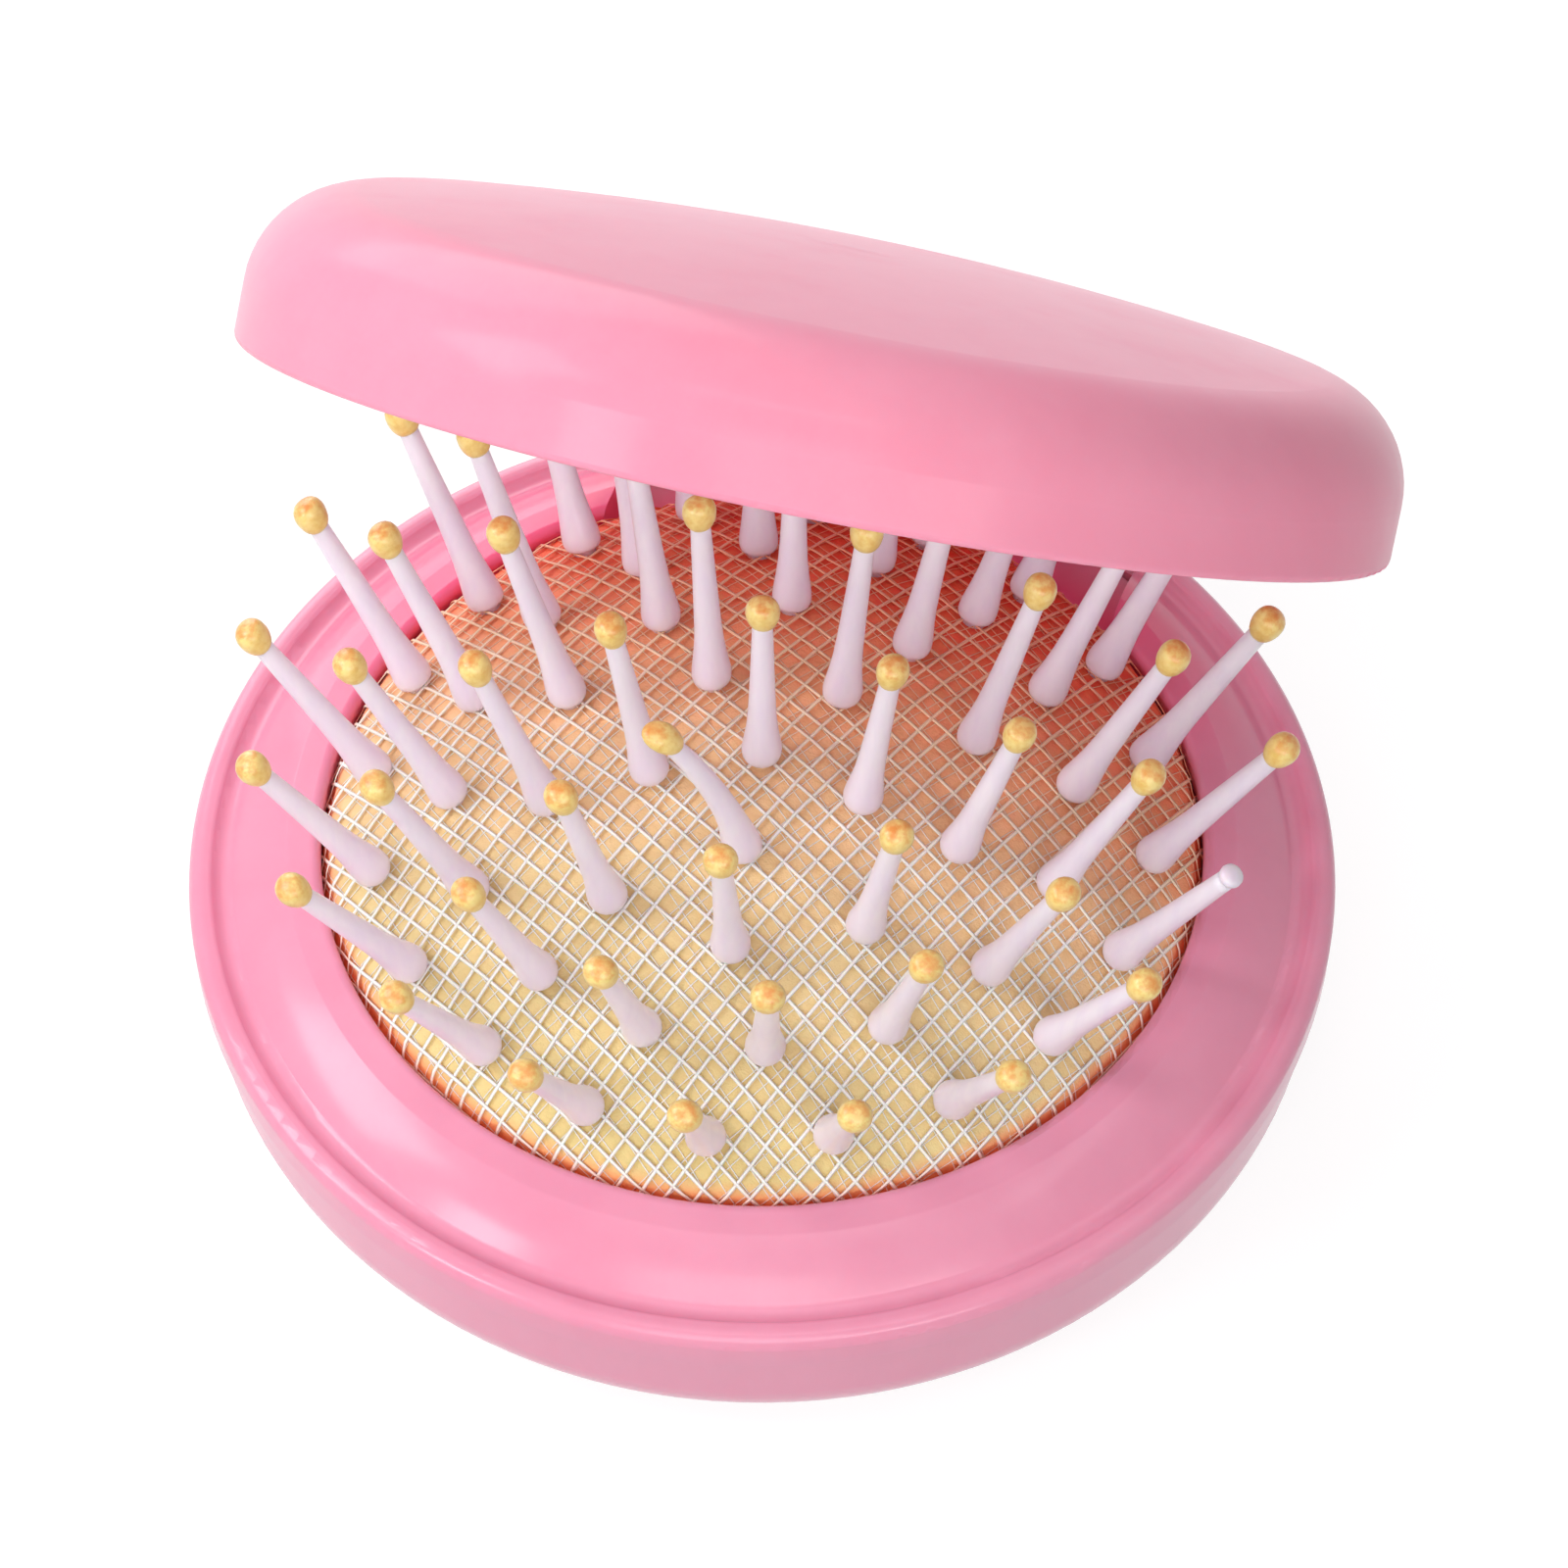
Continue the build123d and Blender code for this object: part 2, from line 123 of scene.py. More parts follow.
# ---- node helpers ------------------------------------------------------------------------------
def rgb(red, green, blue):
    """A screen colour from 0 to 255 as linear RGBA."""
    def linear(value):
        value /= 255
        return value / 12.92 if value <= 0.04045 else ((value + 0.055) / 1.055) ** 2.4

    return (linear(red), linear(green), linear(blue), 1)


class Shader:
    """A material with a Principled shader and short calls for the nodes that feed it."""

    def __init__(self, name, **fixed):
        self.material = bpy.data.materials.new(name)
        self.material.use_nodes = True
        self.tree = self.material.node_tree
        self.surface = self.tree.nodes["Principled BSDF"]
        for socket, value in fixed.items():
            self.surface.inputs[socket.replace("_", " ")].default_value = value

    def node(self, kind, **inputs):
        """A new node; its inputs go by their sockets' names, or by place as i0, i1 and so on."""
        made = self.tree.nodes.new("ShaderNode" + kind)
        for name, value in inputs.items():
            self.put(made, name.replace("_", " "), value)
        return made

    def put(self, node, name, value):
        by_place = name[0] == "i" and name[1:].isdigit()
        socket = node.inputs[int(name[1:])] if by_place else node.inputs[name]
        if hasattr(value, "links"):
            self.tree.links.new(value, socket)
        else:
            socket.default_value = value

    def set(self, **inputs):
        for name, value in inputs.items():
            self.put(self.surface, name.replace("_", " "), value)

    def object_space(self):
        return self.node("TexCoord").outputs["Object"]

    def along(self):
        """How far along its pin a point lies, from 0 to 1."""
        made = self.node("Attribute")
        made.attribute_name = "along"
        return made.outputs["Fac"]

    def noise(self, vector, scale, detail=3.0, rough=0.5, stretch=None):
        if stretch:
            mapping = self.node("Mapping", Vector=vector, Scale=stretch)
            vector = mapping.outputs["Vector"]
        made = self.node("TexNoise", Vector=vector, Scale=scale, Detail=detail, Roughness=rough)
        return made.outputs["Fac"]

    def span(self, value, low, high, to_low=0.0, to_high=1.0):
        """A number moved from one span to another and kept inside it."""
        made = self.node("MapRange", Value=value)
        limits = (("From Min", low), ("From Max", high), ("To Min", to_low), ("To Max", to_high))
        for name, number in limits:
            made.inputs[name].default_value = number
        made.clamp = True
        return made.outputs["Result"]

    def math(self, kind, first, second=0.0):
        made = self.node("Math", i0=first, i1=second)
        made.operation = kind
        return made.outputs["Value"]

    def mix(self, share, first, second):
        made = self.tree.nodes.new("ShaderNodeMix")
        made.data_type = "RGBA"
        self.put(made, "i0", share)
        self.put(made, "i6", first)
        self.put(made, "i7", second)
        return made.outputs[2]

    def depth(self, place):
        """How far back a point lies, along the level direction of the photograph's view."""
        made = self.node("VectorMath", i0=place, i1=tuple(level_forward))
        made.operation = "DOT_PRODUCT"
        return made.outputs["Value"]

    def reach(self, place):
        """How far a point lies from the upright axis of the base."""
        flat = self.node("VectorMath", i0=place, i1=(1, 1, 0))
        flat.operation = "MULTIPLY"
        made = self.node("VectorMath", i0=flat.outputs["Vector"])
        made.operation = "LENGTH"
        return made.outputs["Value"]

    def bump(self, height, strength, distance, normal=None):
        made = self.node("Bump", Height=height, Strength=strength, Distance=distance)
        if normal is not None:
            self.tree.links.new(normal, made.inputs["Normal"])
        return made.outputs["Normal"]


# ---- materials ---------------------------------------------------------------------------------
# lengths inside the materials are in metres, as the Object coordinates are
FLOW_STRETCH = (1, 1, 0.3)
STREAK_STRETCH = (1, 1, 0.12)
DRAWN_STRETCH = (0.08, 1, 1)
# where the painted shade on the ring's inner back lies: how far back, and how far from the axis
PAINTED_SHADE_DEPTH = (0.004, 0.022)
PAINTED_SHADE_REACH = (0.0345, 0.0385)
POLE_REACH = (0.0044, 0.0052)
SIDEWAYS_SHARE = 0.35
CUSHION_EDGE_LEVEL = 0.0146


def pink_plastic(name, coat, gloss, colour, shade, pale, pole=None, painted_shade=None):
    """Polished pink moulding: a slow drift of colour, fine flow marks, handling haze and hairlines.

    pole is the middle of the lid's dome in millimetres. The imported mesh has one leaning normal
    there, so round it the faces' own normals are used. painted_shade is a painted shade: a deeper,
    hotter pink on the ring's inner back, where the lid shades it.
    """
    made = Shader(name, Coat_Weight=coat, Coat_Roughness=gloss, IOR=1.46, Subsurface_Weight=0.3,
                  Subsurface_Scale=0.002, Subsurface_Radius=(1.0, 0.35, 0.4),
                  Specular_IOR_Level=0.04)
    place = made.object_space()
    drift = made.span(made.noise(place, 38, 2), 0.35, 0.68)
    flow = made.span(made.noise(place, 260, 4, 0.6, FLOW_STRETCH), 0.4, 0.62)
    haze = made.span(made.noise(place, 95, 5, 0.65), 0.48, 0.72)
    body = made.mix(made.math("MULTIPLY", drift, 0.5), colour, pale)
    body = made.mix(made.math("MULTIPLY", flow, 0.08), body, shade)
    # painted shade: a deeper, hotter pink on the ring's inner back
    if painted_shade:
        back = made.span(made.depth(place), *PAINTED_SHADE_DEPTH, 0.0, 0.85)
        inner = made.span(made.reach(place), *PAINTED_SHADE_REACH, 1.0, 0.0)
        body = made.mix(made.math("MULTIPLY", back, inner), body, painted_shade)
    made.set(Base_Color=body, Roughness=made.span(haze, 0, 1, 0.3, 0.38))
    lines = made.node("TexWave", Vector=place, Scale=420.0, Distortion=9.0, Detail=3.0)
    lines.inputs["Detail Scale"].default_value = 1.6
    hairline = made.span(lines.outputs["Fac"], 0.93, 1.0)
    grain = made.noise(place, 1900, 2)
    normal = None
    if pole:
        geometry = made.node("NewGeometry")
        away = made.node("VectorMath", i0=place, i1=[value * MM for value in pole])
        away.operation = "DISTANCE"
        near = made.span(away.outputs["Value"], *POLE_REACH, 1.0, 0.0)
        normal = made.mix(near, geometry.outputs["Normal"], geometry.outputs["True Normal"])
    normal = made.bump(grain, 0.03, 0.00003, normal)
    normal = made.bump(hairline, 0.03, 0.00001, normal)
    waves = made.noise(place, 30, 1)
    made.set(Normal=made.bump(waves, 0.05, 0.0006, normal))
    return made.material


def lilac_pin():
    """Lilac-white nylon, clouded and streaked along the pin, a little pinker at the foot."""
    made = Shader("lilac_pin", Roughness=0.3, Coat_Weight=0.3, Coat_Roughness=0.2, IOR=1.5,
                  Subsurface_Weight=0.6, Subsurface_Scale=0.002,
                  Subsurface_Radius=(1.0, 0.8, 0.95))
    place = made.object_space()
    streak = made.span(made.noise(place, 900, 3, 0.6, STREAK_STRETCH), 0.4, 0.7)
    cloud = made.span(made.noise(place, 180, 3), 0.35, 0.7)
    foot = made.span(made.along(), 0.0, 0.35, 1.0, 0.0)
    tint = made.mix(made.math("MULTIPLY", cloud, 0.5), rgb(242, 235, 255), rgb(249, 245, 255))
    tint = made.mix(made.math("MULTIPLY", streak, 0.3), tint, rgb(226, 214, 248))
    tint = made.mix(made.math("MULTIPLY", foot, 0.35), tint, rgb(236, 214, 232))
    made.set(Base_Color=tint, Normal=made.bump(made.noise(place, 2400, 2), 0.08, 0.00003))
    return made.material


def bead_yellow():
    """Mottled yellow bead that turns orange towards its end."""
    made = Shader("bead_yellow", Roughness=0.34, Coat_Weight=0.25, Coat_Roughness=0.2,
                  Subsurface_Weight=0.25, Subsurface_Scale=0.0008,
                  Subsurface_Radius=(1.0, 0.6, 0.25))
    place = made.object_space()
    mottle = made.span(made.noise(place, 1300, 4, 0.6), 0.38, 0.66)
    cap = made.math("ADD", made.along(), made.math("MULTIPLY", mottle, 0.28))
    tint = made.mix(mottle, rgb(247, 223, 142), rgb(234, 199, 108))
    tint = made.mix(made.span(cap, 0.93, 1.28, 0.0, 0.7), tint, rgb(234, 126, 54))
    made.set(Base_Color=tint, Normal=made.bump(made.noise(place, 3200, 3), 0.3, 0.00006))
    return made.material


def cushion_rubber():
    """Rubber: gold at the front, peach in the middle, coral and red at the back, partly painted
    shade and bounced pink light under the lid; orange at the bezel is a painted glow.
    """
    made = Shader("cushion_rubber", Roughness=0.62, Specular_IOR_Level=0.3,
                  Subsurface_Weight=0.12, Subsurface_Scale=0.001,
                  Subsurface_Radius=(1.0, 0.4, 0.2))
    place = made.object_space()
    parts = made.node("SeparateXYZ", Vector=place)
    sideways = made.math("MULTIPLY", parts.outputs["X"], SIDEWAYS_SHARE)
    back_shade_depth = made.math("ADD", made.math("ADD", made.depth(place), sideways),
                        made.math("MULTIPLY", made.noise(place, 60, 3), 0.006))
    # the rubber's own gold and peach, deepening along the view's depth to coral and red at the back
    # as painted shade and bounced pink light under the lid
    ramp = made.node("ValToRGB", Fac=made.span(back_shade_depth, -0.026, 0.028))
    stops = ramp.color_ramp.elements
    stops[0].position, stops[0].color = 0.0, rgb(230, 209, 142)
    stops[1].position, stops[1].color = 1.0, rgb(244, 56, 38)
    for at, colour in (
        (0.3, rgb(240, 214, 158)), (0.52, rgb(255, 206, 158)), (0.68, rgb(255, 164, 126)),
        (0.84, rgb(255, 102, 76)),
    ):
        stops.new(at).color = colour
    grain = made.span(made.noise(place, 900, 4, 0.65), 0.35, 0.7)
    skin = made.mix(made.math("MULTIPLY", grain, 0.25), ramp.outputs["Color"],
                    rgb(226, 182, 112))
    # painted glow: orange-red low on the cushion's edge, standing in for pink light bounced into
    # the gap at the bezel
    low = made.span(parts.outputs["Z"], CUSHION_EDGE_LEVEL, 0.0161, 1.0, 0.0)
    skin = made.mix(made.math("MULTIPLY", low, 0.9), skin, rgb(255, 104, 60))
    wrinkle = made.bump(made.noise(place, 190, 3), 0.4, 0.0004)
    made.set(Base_Color=skin, Normal=made.bump(grain, 0.5, 0.00015, wrinkle))
    return made.material


def net_thread():
    """Cream fibre, tinted towards the back and at the bezel as painted shade and light bounced from
    the rubber under it.
    """
    made = Shader("net_thread", Roughness=0.55, Sheen_Weight=0.25, Sheen_Roughness=0.4,
                  Subsurface_Weight=0.2, Subsurface_Scale=0.0004)
    place = made.object_space()
    parts = made.node("SeparateXYZ", Vector=place)
    sideways = made.math("MULTIPLY", parts.outputs["X"], SIDEWAYS_SHARE)
    back_shade_depth = made.math("ADD", made.depth(place), sideways)
    # painted shade and bounced light: the threads turn peach, then coral, towards the back
    tint = made.mix(made.span(back_shade_depth, -0.004, 0.008), rgb(255, 252, 244), rgb(255, 212, 174))
    tint = made.mix(made.span(back_shade_depth, 0.008, 0.026), tint, rgb(255, 130, 94))
    fibre = made.noise(place, 3600, 2, 0.5)
    tint = made.mix(made.span(fibre, 0.4, 0.7, 0.0, 0.2), tint, rgb(246, 226, 198))
    # painted glow: the threads turn orange low down in the gap at the bezel
    low = made.span(parts.outputs["Z"], CUSHION_EDGE_LEVEL, 0.0160, 1.0, 0.0)
    tint = made.mix(made.math("MULTIPLY", low, 0.7), tint, rgb(250, 130, 84))
    made.set(Base_Color=tint, Normal=made.bump(fibre, 0.4, 0.00005))
    return made.material


def mirror_silver():
    """Silvered glass with faint smears."""
    made = Shader("mirror_silver", Roughness=0.02, Metallic=1.0, Coat_Weight=0.5,
                  Coat_Roughness=0.02)
    smear = made.span(made.noise(made.object_space(), 70, 5, 0.6), 0.5, 0.75, 0.0, 0.5)
    made.set(
        Base_Color=made.mix(smear, rgb(240, 243, 245), rgb(228, 232, 236)),
        Roughness=made.span(smear, 0.0, 0.5, 0.015, 0.06),
    )
    return made.material


def drawn_steel():
    """Bright wire with marks along its length."""
    made = Shader("drawn_steel", Roughness=0.28, Metallic=1.0)
    drawn = made.noise(made.object_space(), 1500, 3, 0.6, DRAWN_STRETCH)
    made.set(
        Base_Color=made.mix(drawn, rgb(205, 206, 208), rgb(168, 170, 174)),
        Roughness=made.span(drawn, 0.3, 0.7, 0.2, 0.4),
        Normal=made.bump(drawn, 0.3, 0.00004),
    )
    return made.material


def clouded(name, cloud, first, second, grain, strength, distance, **fixed):
    """A material of two near colours with a fine grain; cloud and grain are (scale, detail)."""
    made = Shader(name, **fixed)
    place = made.object_space()
    made.set(
        Base_Color=made.mix(made.noise(place, *cloud), first, second),
        Normal=made.bump(made.noise(place, *grain), strength, distance),
    )
    return made.material


CASE_COLOURS = (rgb(235, 149, 177), rgb(218, 118, 152), rgb(244, 167, 192))
LID_COLOURS = (rgb(254, 156, 182), rgb(244, 132, 162), rgb(255, 170, 194))
FRAME_COLOURS = (rgb(240, 140, 172), rgb(222, 112, 148), rgb(246, 160, 188))
case_pink = pink_plastic("case_pink", 0.75, 0.2, *CASE_COLOURS)
# the bezel's inner back carries a painted shade of deeper, hotter pink
bezel_pink = pink_plastic("bezel_pink", 0.75, 0.2, *CASE_COLOURS, painted_shade=rgb(255, 98, 144))
lid_pink = pink_plastic("lid_pink", 0.22, 0.16, *LID_COLOURS, LID_MIDDLE)
frame_pink = pink_plastic("frame_pink", 0.4, 0.15, *FRAME_COLOURS)
lilac = lilac_pin()
yellow = bead_yellow()
white_tip = clouded("bare_tip", (1500, 3), rgb(246, 240, 248), rgb(226, 212, 230), (2600, 2),
                    0.15, 0.00004, Roughness=0.3, Subsurface_Weight=0.3, Subsurface_Scale=0.0008)
rubber = cushion_rubber()
thread = net_thread()
clamp = clouded("clamp_plastic", (220, 4), rgb(232, 228, 222), rgb(214, 208, 202), (1400, 3),
                0.2, 0.00005, Roughness=0.5)
glass = mirror_silver()
tape = clouded("white_tape", (500, 4), rgb(236, 234, 228), rgb(216, 212, 204), (1700, 3),
               0.3, 0.00008, Roughness=0.75)
steel = drawn_steel()

for name, material in (
    ("base_tray", case_pink), ("bezel_ring", bezel_pink), ("lid_shell", lid_pink),
    ("mirror_frame", frame_pink), ("clamp_ring", clamp), ("mirror_glass", glass),
    ("mirror_tape", tape), ("hinge_pin", steel),
):
    data = nodes[name].data
    data.materials.clear()
    data.materials.append(material)


# ---- mesh helpers ------------------------------------------------------------------------------
def mesh_object(name, verts, faces, material, body):
    """A mesh in millimetres that rides on a body, or on none where it is blended or staged."""
    data = bpy.data.meshes.new(name)
    data.from_pydata([tuple(np.asarray(v) * MM) for v in verts], [], faces)
    data.materials.append(material)
    for polygon in data.polygons:
        polygon.use_smooth = True
    data.update()
    made = bpy.data.objects.new(name, data)
    bpy.context.scene.collection.objects.link(made)
    if body:
        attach(made, body)
    return made


def lathe(profile, sides):
    """Points and faces of a profile of (radius, height) turned about Z, with both ends closed."""
    verts, faces = [], []
    for radius, height in profile:
        for k in range(sides):
            turn = 2 * math.pi * k / sides
            verts.append((radius * math.cos(turn), radius * math.sin(turn), height))
    for row in range(len(profile) - 1):
        for k in range(sides):
            a, b = row * sides + k, row * sides + (k + 1) % sides
            faces.append((a, b, b + sides, a + sides))
    for row, order in ((0, -1), (len(profile) - 1, 1)):
        centre = len(verts)
        verts.append((0, 0, profile[row][1]))
        for k in range(sides):
            a, b = row * sides + k, row * sides + (k + 1) % sides
            faces.append((a, b, centre)[::order])
    return np.array(verts), faces


def attribute(made, name, values):
    """A number per point, for a material to read."""
    field = made.data.attributes.new(name, "FLOAT", "POINT")
    field.data.foreach_set("value", np.asarray(values, np.float32))


def pin_frame(radius, azimuth):
    """Foot, direction and sideways directions of a pin on the dome."""
    turn = math.radians(azimuth)
    tilt = math.asin(radius / DOME_RADIUS)
    outward = np.array((math.sin(turn), -math.cos(turn), 0))
    side = np.array((math.cos(turn), math.sin(turn), 0))
    along = outward * math.sin(tilt) + np.array((0, 0, math.cos(tilt)))
    foot = outward * radius + np.array((0, 0, DOME_CENTRE + DOME_RADIUS * math.cos(tilt)))
    return foot, along, side, np.cross(along, side)


def same_pin(one, other):
    """Whether two (radius, azimuth) pairs are one pin."""
    return abs(one[0] - other[0]) < 0.01 and abs(one[1] - other[1]) < 0.01


pin_groups = {"centre": [(0.0, 0.0)]}
for ring, (radius, count, phase) in enumerate(zip(RING_RADII, RING_COUNTS, RING_PHASES)):
    for k in range(count):
        group = "centre" if ring == 0 else RING_NAMES[ring] + "_" + str(k // 2 + 1)
        pin_groups.setdefault(group, []).append((radius, phase + 360 * k / count))
all_pins = [pin for pins in pin_groups.values() for pin in pins]


# ---- cushion -----------------------------------------------------------------------------------
def dome_profile(growth):
    """Points (radius, height, arc length) from the dome's top, over its edge, to the flange."""
    sphere = DOME_RADIUS + growth
    corner = CORNER_RADIUS + growth
    # the corner's circle touches the sphere inside and the side wall outside
    lean = math.atan2(ROOT_RADIUS - EDGE_RADIUS, WALL_HEIGHT)
    centre_radius = EDGE_RADIUS + growth - corner * 0.97
    reach = sphere - corner
    centre_height = DOME_CENTRE + math.sqrt(reach**2 - centre_radius**2)
    touch = math.asin(centre_radius / reach)
    points = [
        (sphere * math.sin(touch * i / 40), DOME_CENTRE + sphere * math.cos(touch * i / 40))
        for i in range(41)
    ]
    for i in range(1, 9):
        turn = touch + (math.pi / 2 - lean - touch) * i / 8
        points.append((centre_radius + corner * math.sin(turn),
                       centre_height + corner * math.cos(turn)))
    end_radius, end_height = points[-1]
    for i in range(1, 13):
        height = end_height + (FLANGE_TOP + growth - end_height) * i / 12
        off = (height - EDGE_BULGE_LEVEL) / EDGE_BULGE_SPREAD
        bulge = EDGE_BULGE * math.exp(-(off**2))
        points.append((end_radius + (end_height - height) * math.tan(lean) + bulge, height))
    length = 0.0
    rows = [(*points[0], 0.0)]
    for a, b in zip(points, points[1:]):
        length += math.hypot(b[0] - a[0], b[1] - a[1])
        rows.append((*b, length))
    return np.array(rows)


skin_rows = dome_profile(0.0)
inner_rows = dome_profile(-RUBBER)
outline = [(r, h) for r, h, _ in skin_rows[1:]] + [
    (FLANGE_RADIUS, FLANGE_TOP),
    (FLANGE_RADIUS, FLANGE_TOP - RUBBER),
    (inner_rows[-1][0], FLANGE_TOP - RUBBER),
] + [(r, h) for r, h, _ in inner_rows[:0:-1]]
verts, faces = lathe(outline, DOME_SIDES)
# a shallow dimple where each pin pulls the rubber in
top = verts[:, 2] > RIDGE_LEVEL
for pin in all_pins:
    foot = pin_frame(*pin)[0]
    away = np.linalg.norm(verts - foot, axis=1)
    verts[:, 2] -= np.where(top, DIMPLE_DEPTH * np.exp(-((away / DIMPLE_SPREAD) ** 2)), 0)
cushion = mesh_object("rubber_cushion", verts, faces, rubber, None)
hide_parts("cushion")


# ---- net: two families of threads laid over the dome -------------------------------------------
def on_dome(across, rows):
    """Places points of the flat net on the dome by their distance and direction from its middle."""
    distance = np.hypot(across[:, 0], across[:, 1])
    radius = np.interp(distance, rows[:, 2], rows[:, 0])
    height = np.interp(distance, rows[:, 2], rows[:, 1])
    unit = across / np.maximum(distance, 1e-9)[:, None]
    return np.column_stack((unit * radius[:, None], height))


def net_layer(name, directions, pitch, half_width, lift, wander):
    """One mesh of all the threads, each a flat four-sided ribbon."""
    ribbon = ((-half_width, 0), (0, 0.3 * half_width), (half_width, 0), (0, -0.4 * half_width))
    rows = dome_profile(lift)
    limit = rows[-1, 2] - 0.3
    verts, faces = [], []
    for family, angle in enumerate(directions):
        along = np.array((math.cos(angle), math.sin(angle)))
        across = np.array((-along[1], along[0]))
        count = int(limit / pitch)
        for line in range(-count, count + 1):
            offset = line * pitch + rng.uniform(-STRAY, STRAY)
            reach = math.sqrt(max(limit**2 - offset**2, 0))
            if reach < 3:
                continue
            steps = max(int(2 * reach / THREAD_STEP), 8)
            t = np.linspace(-reach, reach, steps + 1)
            phase = rng.uniform(0, 6.28)
            drift = wander * np.sin(t / 7.0 + phase) + wander * 0.5 * np.sin(t / 2.3 + 2 * phase)
            weave = WEAVE * np.cos(math.pi * t / pitch + math.pi * (line + family))
            start = len(verts)
            for sideways, rise in ribbon:
                shift = (offset + drift + sideways)[:, None]
                laid = on_dome(along[None] * t[:, None] + across[None] * shift, rows)
                out = laid - np.array((0, 0, DOME_CENTRE))
                out /= np.linalg.norm(out, axis=1)[:, None]
                verts.extend(laid + out * (rise + weave)[:, None])
            for k in range(steps):
                for corner in range(4):
                    a = start + corner * (steps + 1) + k
                    b = start + ((corner + 1) % 4) * (steps + 1) + k
                    faces.append((a, b, b + 1, a + 1))
    return mesh_object(name, verts, faces, thread, None)


def crossing(first, second):
    """The directions of two thread families, in degrees from the picture's level line."""
    return CAMERA_AZIMUTH + math.radians(first), CAMERA_AZIMUTH + math.radians(second)


net = net_layer("cushion_net_threads", crossing(51, -46), NET_PITCH, THREAD, NET_LIFT, NET_WANDER)
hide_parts("cushion_net")
under = net_layer("cushion_net_under", crossing(41, -56), UNDER_PITCH, UNDER_THREAD, UNDER_LIFT,
                  UNDER_WANDER)
for piece in (cushion, net, under):
    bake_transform(piece)

# ---- pins and beads: profiles of (radius, height above the dome) -------------------------------
PIN_PROFILE = (
    (1.3, -1.22), (1.4, -1.1), (1.4, -0.85), (1.3, -0.72), (0.86, -0.70), (0.86, 0.26),
    (1.08, 0.29), (1.28, 0.42), (1.38, 0.66), (1.41, 1.0), (1.39, 1.45), (1.30, 2.1),
    (1.17, 3.1), (1.05, 4.3), (0.97, 5.8), (0.90, 8.0), (0.83, 10.4), (0.77, 12.8),
    (0.72, 14.9), (0.70, 15.9),
)
BEAD_PROFILE = (
    (0.74, 15.4), (0.92, 15.62), (1.06, 15.92), (1.15, 16.26), (1.2, 16.62), (1.18, 17.0),
    (1.08, 17.32), (0.9, 17.56), (0.62, 17.72), (0.32, 17.8),
)
TIP_PROFILE = (
    (0.70, 15.9), (0.80, 16.05), (0.86, 16.3), (0.82, 16.55), (0.62, 16.72), (0.3, 16.8),
)
ROUND = (1, 1)
BEAD_SQUASH = (1.0, 0.94)
PIN_LEAN = 0.012
BENT_PIN = (RING_RADII[0], RING_PHASES[0])
BARE_PIN = (RING_RADII[3], RING_PHASES[3] + 3 * 360 / RING_COUNTS[3])
BEND_REACH = 18
BEND_SIDEWAYS = 5.2
BEND_DROP = 1.1


def on_pin(profile, pin, squash):
    """A turned profile on a pin's own line, a little out of round and leaning by chance."""
    points, faces = lathe(profile, PIN_SIDES)
    foot, along, side, cross = pin_frame(*pin)
    chance = random.Random(round(pin[0] * 1000 + pin[1] * 10))
    lean = np.array((chance.gauss(0, PIN_LEAN), chance.gauss(0, PIN_LEAN)))
    rise = np.maximum(points[:, 2], 0)
    x = points[:, 0] * squash[0] + lean[0] * rise
    y = points[:, 1] * squash[1] + lean[1] * rise
    world = foot + x[:, None] * side + y[:, None] * cross + points[:, 2:3] * along
    if same_pin(pin, BENT_PIN):
        share = np.clip(rise / BEND_REACH, 0, 1)
        world += (
            -np.array(right) * (BEND_SIDEWAYS * share**1.6)[:, None]
            - np.array((0, 0, 1)) * (BEND_DROP * share**3)[:, None]
        )
    low, high = profile[0][1], profile[-1][1]
    return world, faces, (points[:, 2] - low) / (high - low)


def gather(name, profile, pins, squash, material, body, stands_for):
    """One mesh of a turned shape on many pins, with how far along the pin each point lies."""
    verts, faces, along = [], [], []
    for pin in pins:
        world, made, share = on_pin(profile, pin, squash)
        start = len(verts)
        verts.extend(world)
        faces.extend(tuple(start + i for i in face) for face in made)
        along.extend(share)
    piece = mesh_object(name, verts, faces, material, body)
    attribute(piece, "along", along)
    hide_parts(*stands_for)


for group, pins in pin_groups.items():
    body = "group_" + group
    beaded = [pin for pin in pins if not same_pin(pin, BARE_PIN)]
    gather("shafts_" + group, PIN_PROFILE, pins, ROUND, lilac, body, ["pins_" + group])
    gather("tips_" + group, BEAD_PROFILE, beaded, BEAD_SQUASH, yellow, body, ["beads_" + group])
    if len(beaded) < len(pins):
        gather("bare_tip", TIP_PROFILE, [BARE_PIN], ROUND, white_tip, body, [])

# ---- floor, world and lights -------------------------------------------------------------------
FLOOR_REACH = 3000
FLOOR_GREY = (0.5, 0.5, 0.5, 1)
FLOOR_SHOWN = (0.25, 0.25, 0.25, 1)
FLOOR_GLOW = 0.84
WORLD_LIGHT = 0.26
WORLD_SHOWN = 1.0
WORLD_COLOUR = (1, 0.985, 0.99, 1)
LAMP_AIM = (0, 0, 0.02)
# name, azimuth, elevation, distance in metres, size in metres, watts, colour
LAMPS = (
    ("key", -52, 30, 0.7, (0.16, 0.2), 1.0, (1, 0.985, 0.98)),
    ("left", -92, 40, 0.8, (0.35, 0.35), 2.5, (1, 0.99, 0.985)),
    ("back", -162, 20, 0.8, (0.6, 0.6), 3.4, (1, 0.985, 0.99)),
    ("top", -12, 78, 0.8, (0.5, 0.05), 0.45, (1, 0.99, 0.99)),
    ("rim", 75, 55, 0.8, (0.3, 0.05), 0.15, (1, 0.98, 1)),
    ("front", 24, 28, 0.8, (0.3, 0.2), 0.95, (1, 0.98, 0.99)),
    ("fill", -6, 34, 0.9, (0.5, 0.5), 2.4, (1, 0.99, 0.985)),
)


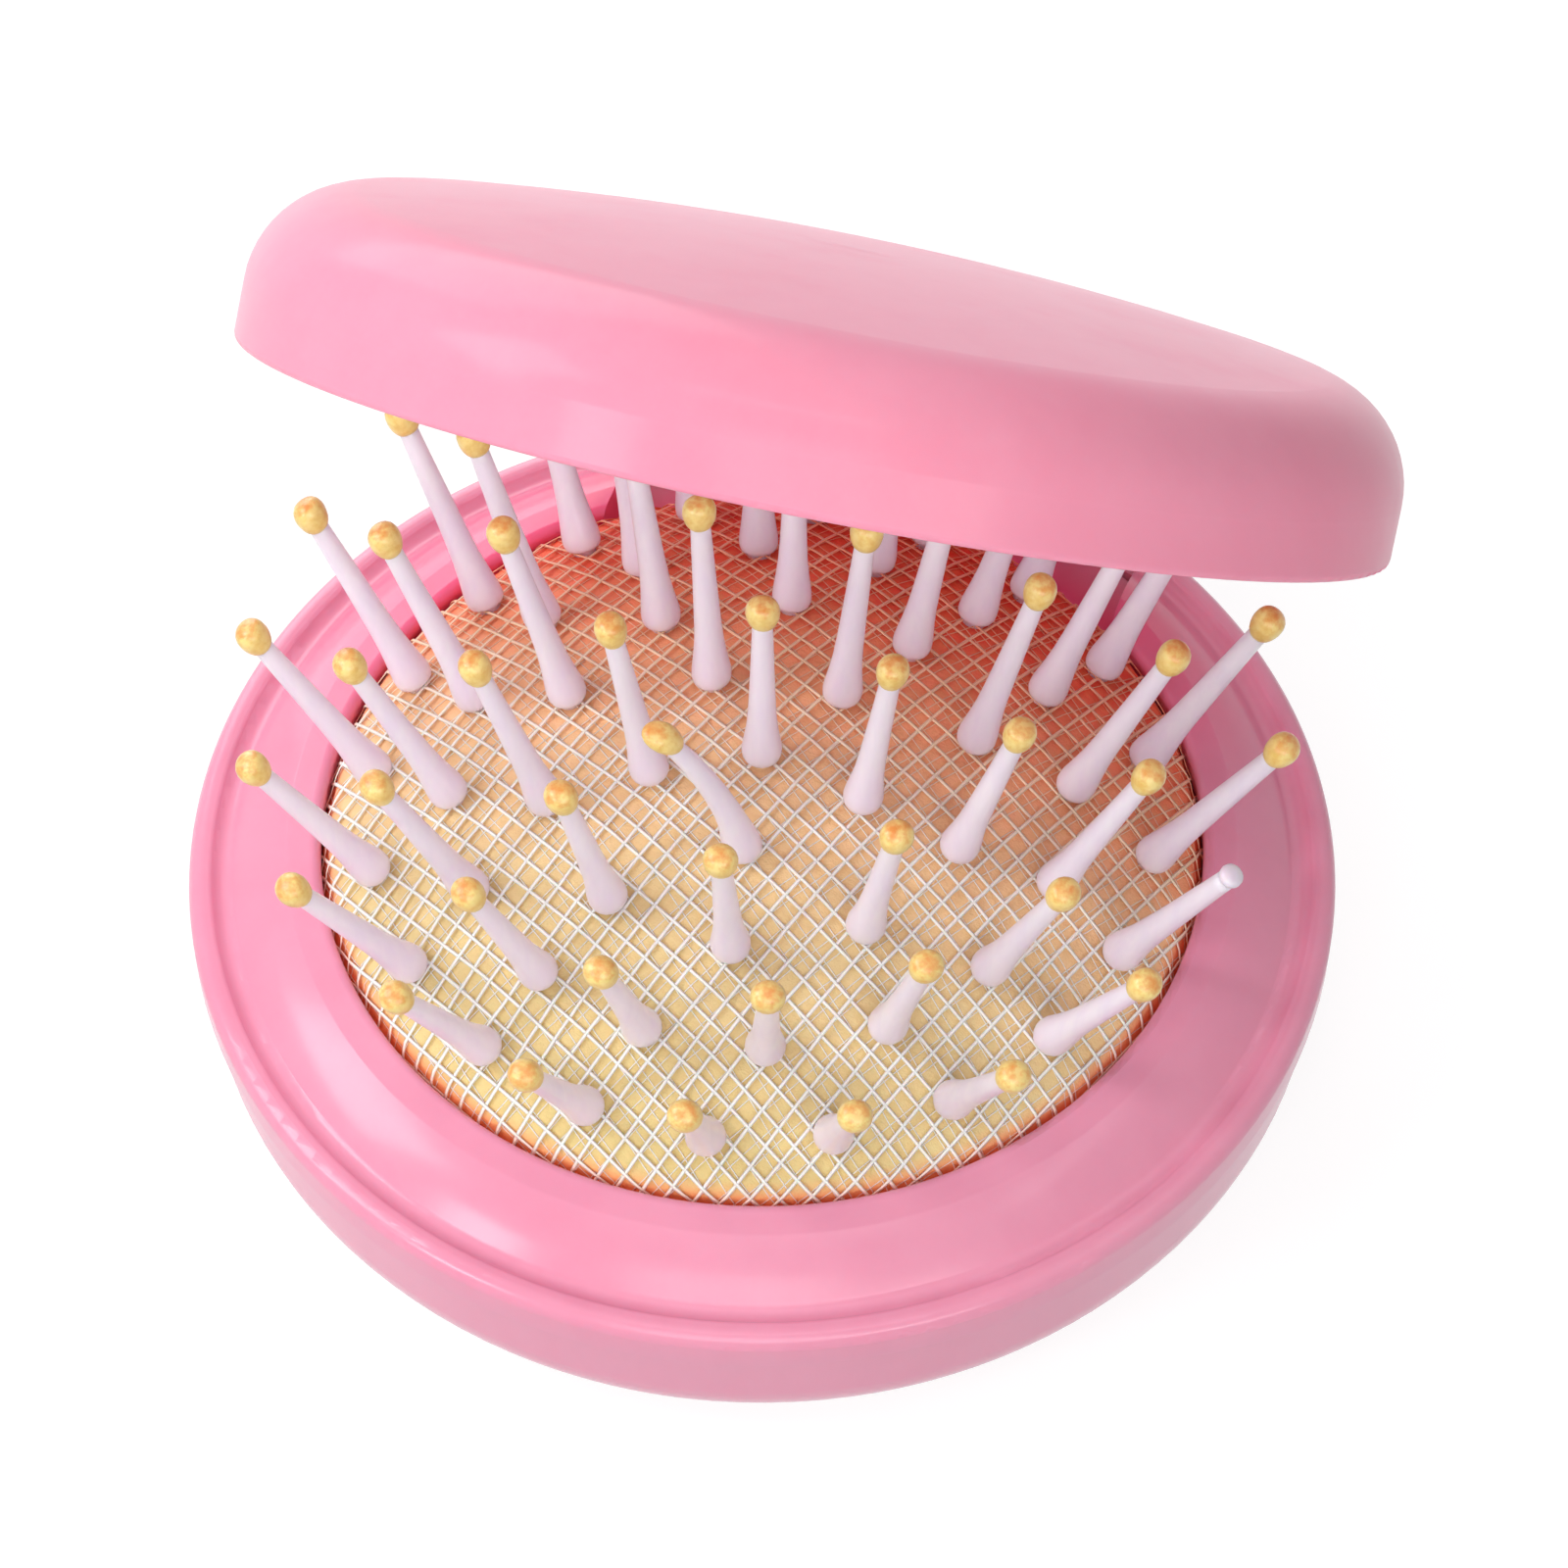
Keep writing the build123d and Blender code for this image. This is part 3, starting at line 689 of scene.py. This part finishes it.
def seen_rays(tree):
    """1 for camera, glossy and transmission rays, which show the background, and 0 for others."""
    path = tree.nodes.new("ShaderNodeLightPath")
    value = path.outputs["Is Camera Ray"]
    for ray in ("Is Glossy Ray", "Is Transmission Ray"):
        larger = tree.nodes.new("ShaderNodeMath")
        larger.operation = "MAXIMUM"
        tree.links.new(value, larger.inputs[0])
        tree.links.new(path.outputs[ray], larger.inputs[1])
        value = larger.outputs[0]
    return value


floor_look = bpy.data.materials.new("floor_look")
floor_look.use_nodes = True
tree = floor_look.node_tree
tree.nodes.clear()
matt = tree.nodes.new("ShaderNodeBsdfDiffuse")
matt.inputs["Color"].default_value = FLOOR_GREY
shown = tree.nodes.new("ShaderNodeBsdfDiffuse")
shown.inputs["Color"].default_value = FLOOR_SHOWN
glow = tree.nodes.new("ShaderNodeEmission")
glow.inputs["Strength"].default_value = FLOOR_GLOW
together = tree.nodes.new("ShaderNodeAddShader")
tree.links.new(shown.outputs[0], together.inputs[0])
tree.links.new(glow.outputs[0], together.inputs[1])
choice = tree.nodes.new("ShaderNodeMixShader")
tree.links.new(seen_rays(tree), choice.inputs[0])
tree.links.new(matt.outputs[0], choice.inputs[1])
tree.links.new(together.outputs[0], choice.inputs[2])
surface = tree.nodes.new("ShaderNodeOutputMaterial")
tree.links.new(choice.outputs[0], surface.inputs["Surface"])
corners = [(x * FLOOR_REACH, y * FLOOR_REACH, 0) for x, y in ((-1, -1), (1, -1), (1, 1), (-1, 1))]
floor = mesh_object("floor", corners, [(0, 1, 2, 3)], floor_look, None)

world = bpy.data.worlds.new("world")
bpy.context.scene.world = world
world.use_nodes = True
tree = world.node_tree
background = tree.nodes["Background"]
strength = tree.nodes.new("ShaderNodeMapRange")
tree.links.new(seen_rays(tree), strength.inputs["Value"])
strength.inputs["To Min"].default_value = WORLD_LIGHT
strength.inputs["To Max"].default_value = WORLD_SHOWN
tree.links.new(strength.outputs[0], background.inputs["Strength"])
background.inputs["Color"].default_value = WORLD_COLOUR


def lamp(name, azimuth, elevation, distance, size, power, colour):
    """A soft box aimed at the brush; azimuth is from the camera's side, positive to its right."""
    data = bpy.data.lights.new(name, "AREA")
    data.shape = "RECTANGLE"
    data.size, data.size_y = size
    data.energy = power
    data.color = colour
    turn = CAMERA_AZIMUTH + math.radians(azimuth)
    rise = math.radians(elevation)
    away = Vector((
        math.sin(turn) * math.cos(rise), -math.cos(turn) * math.cos(rise), math.sin(rise),
    ))
    made = bpy.data.objects.new(name, data)
    made.matrix_world = (
        Matrix.Translation(Vector(LAMP_AIM) + away * distance)
        @ away.to_track_quat("Z", "Y").to_matrix().to_4x4()
    )
    bpy.context.scene.collection.objects.link(made)


for settings in LAMPS:
    lamp(*settings)

bpy.context.scene.view_settings.view_transform = "Standard"
